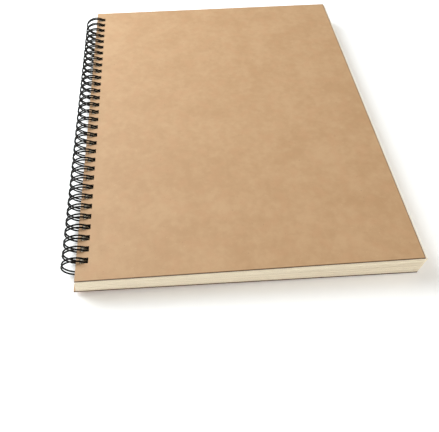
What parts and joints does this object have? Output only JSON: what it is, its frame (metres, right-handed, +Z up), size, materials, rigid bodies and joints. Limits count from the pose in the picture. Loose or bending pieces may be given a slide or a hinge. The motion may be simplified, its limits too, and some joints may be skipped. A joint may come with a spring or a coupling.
{
  "type": "sketchbook",
  "caption": "Twin-loop wire-bound sketchbook lying shut, with plain kraft board covers and a thick block of cream cartridge paper.",
  "frame": {"origin": "middle of the bounding box's floor, under the lowest point of the wire, in millimetres in the STEP files", "axes": "+Z up out of the front cover, +Y along the spine towards the head of the pages, +X from the wire towards the fore edge"},
  "size_m": [0.2237, 0.288, 0.0189],
  "materials": {
    "kraft_board": "matte uncoated kraft board, fine fibres and soft mottling",
    "cream_paper": "matte uncoated cream cartridge paper",
    "black_wire": "satin black coating on round steel wire"
  },
  "bodies": {
    "back": {"back_cover": "kraft_board", "wire_binding": "black_wire"},
    "sheets_73_to_80": {"sheets_73_to_80": "cream_paper"},
    "sheets_65_to_72": {"sheets_65_to_72": "cream_paper"},
    "sheets_57_to_64": {"sheets_57_to_64": "cream_paper"},
    "sheets_49_to_56": {"sheets_49_to_56": "cream_paper"},
    "sheets_41_to_48": {"sheets_41_to_48": "cream_paper"},
    "sheets_33_to_40": {"sheets_33_to_40": "cream_paper"},
    "sheets_25_to_32": {"sheets_25_to_32": "cream_paper"},
    "sheets_17_to_24": {"sheets_17_to_24": "cream_paper"},
    "sheet_16": {"sheet_16": "cream_paper"},
    "sheet_15": {"sheet_15": "cream_paper"},
    "sheet_14": {"sheet_14": "cream_paper"},
    "sheet_13": {"sheet_13": "cream_paper"},
    "sheet_12": {"sheet_12": "cream_paper"},
    "sheet_11": {"sheet_11": "cream_paper"},
    "sheet_10": {"sheet_10": "cream_paper"},
    "sheet_09": {"sheet_09": "cream_paper"},
    "sheet_08": {"sheet_08": "cream_paper"},
    "sheet_07": {"sheet_07": "cream_paper"},
    "sheet_06": {"sheet_06": "cream_paper"},
    "sheet_05": {"sheet_05": "cream_paper"},
    "sheet_04": {"sheet_04": "cream_paper"},
    "sheet_03": {"sheet_03": "cream_paper"},
    "sheet_02": {"sheet_02": "cream_paper"},
    "sheet_01": {"sheet_01": "cream_paper"},
    "front_cover": {"front_cover": "kraft_board"}
  },
  "joints": [
    {"name": "turn_sheets_73_to_80", "type": "hinge", "parent": "back", "child": "sheets_73_to_80", "pos_m": [-0.10282, 0, 0.00842], "axis": [0, -1, 0], "range_deg": [0, 180]},
    {"name": "turn_sheets_65_to_72", "type": "hinge", "parent": "sheets_73_to_80", "child": "sheets_65_to_72", "pos_m": [-0.10282, 0, 0.00842], "axis": [0, -1, 0], "range_deg": [0, 180]},
    {"name": "turn_sheets_57_to_64", "type": "hinge", "parent": "sheets_65_to_72", "child": "sheets_57_to_64", "pos_m": [-0.10282, 0, 0.00842], "axis": [0, -1, 0], "range_deg": [0, 180]},
    {"name": "turn_sheets_49_to_56", "type": "hinge", "parent": "sheets_57_to_64", "child": "sheets_49_to_56", "pos_m": [-0.10282, 0, 0.00842], "axis": [0, -1, 0], "range_deg": [0, 180]},
    {"name": "turn_sheets_41_to_48", "type": "hinge", "parent": "sheets_49_to_56", "child": "sheets_41_to_48", "pos_m": [-0.10282, 0, 0.00842], "axis": [0, -1, 0], "range_deg": [0, 180]},
    {"name": "turn_sheets_33_to_40", "type": "hinge", "parent": "sheets_41_to_48", "child": "sheets_33_to_40", "pos_m": [-0.10282, 0, 0.00842], "axis": [0, -1, 0], "range_deg": [0, 180]},
    {"name": "turn_sheets_25_to_32", "type": "hinge", "parent": "sheets_33_to_40", "child": "sheets_25_to_32", "pos_m": [-0.10282, 0, 0.00842], "axis": [0, -1, 0], "range_deg": [0, 180]},
    {"name": "turn_sheets_17_to_24", "type": "hinge", "parent": "sheets_25_to_32", "child": "sheets_17_to_24", "pos_m": [-0.10282, 0, 0.00842], "axis": [0, -1, 0], "range_deg": [0, 180]},
    {"name": "turn_sheet_16", "type": "hinge", "parent": "sheets_17_to_24", "child": "sheet_16", "pos_m": [-0.10282, 0, 0.00842], "axis": [0, -1, 0], "range_deg": [0, 180]},
    {"name": "turn_sheet_15", "type": "hinge", "parent": "sheet_16", "child": "sheet_15", "pos_m": [-0.10282, 0, 0.00842], "axis": [0, -1, 0], "range_deg": [0, 180]},
    {"name": "turn_sheet_14", "type": "hinge", "parent": "sheet_15", "child": "sheet_14", "pos_m": [-0.10282, 0, 0.00842], "axis": [0, -1, 0], "range_deg": [0, 180]},
    {"name": "turn_sheet_13", "type": "hinge", "parent": "sheet_14", "child": "sheet_13", "pos_m": [-0.10282, 0, 0.00842], "axis": [0, -1, 0], "range_deg": [0, 180]},
    {"name": "turn_sheet_12", "type": "hinge", "parent": "sheet_13", "child": "sheet_12", "pos_m": [-0.10282, 0, 0.00842], "axis": [0, -1, 0], "range_deg": [0, 180]},
    {"name": "turn_sheet_11", "type": "hinge", "parent": "sheet_12", "child": "sheet_11", "pos_m": [-0.10282, 0, 0.00842], "axis": [0, -1, 0], "range_deg": [0, 180]},
    {"name": "turn_sheet_10", "type": "hinge", "parent": "sheet_11", "child": "sheet_10", "pos_m": [-0.10282, 0, 0.00842], "axis": [0, -1, 0], "range_deg": [0, 180]},
    {"name": "turn_sheet_09", "type": "hinge", "parent": "sheet_10", "child": "sheet_09", "pos_m": [-0.10282, 0, 0.00842], "axis": [0, -1, 0], "range_deg": [0, 180]},
    {"name": "turn_sheet_08", "type": "hinge", "parent": "sheet_09", "child": "sheet_08", "pos_m": [-0.10282, 0, 0.00842], "axis": [0, -1, 0], "range_deg": [0, 180]},
    {"name": "turn_sheet_07", "type": "hinge", "parent": "sheet_08", "child": "sheet_07", "pos_m": [-0.10282, 0, 0.00842], "axis": [0, -1, 0], "range_deg": [0, 180]},
    {"name": "turn_sheet_06", "type": "hinge", "parent": "sheet_07", "child": "sheet_06", "pos_m": [-0.10282, 0, 0.00842], "axis": [0, -1, 0], "range_deg": [0, 180]},
    {"name": "turn_sheet_05", "type": "hinge", "parent": "sheet_06", "child": "sheet_05", "pos_m": [-0.10282, 0, 0.00842], "axis": [0, -1, 0], "range_deg": [0, 180]},
    {"name": "turn_sheet_04", "type": "hinge", "parent": "sheet_05", "child": "sheet_04", "pos_m": [-0.10282, 0, 0.00842], "axis": [0, -1, 0], "range_deg": [0, 180]},
    {"name": "turn_sheet_03", "type": "hinge", "parent": "sheet_04", "child": "sheet_03", "pos_m": [-0.10282, 0, 0.00842], "axis": [0, -1, 0], "range_deg": [0, 180]},
    {"name": "turn_sheet_02", "type": "hinge", "parent": "sheet_03", "child": "sheet_02", "pos_m": [-0.10282, 0, 0.00842], "axis": [0, -1, 0], "range_deg": [0, 180]},
    {"name": "turn_sheet_01", "type": "hinge", "parent": "sheet_02", "child": "sheet_01", "pos_m": [-0.10282, 0, 0.00842], "axis": [0, -1, 0], "range_deg": [0, 180]},
    {"name": "turn_front_cover", "type": "hinge", "parent": "sheet_01", "child": "front_cover", "pos_m": [-0.10282, 0, 0.00842], "axis": [0, -1, 0], "range_deg": [0, 180]}
  ]
}
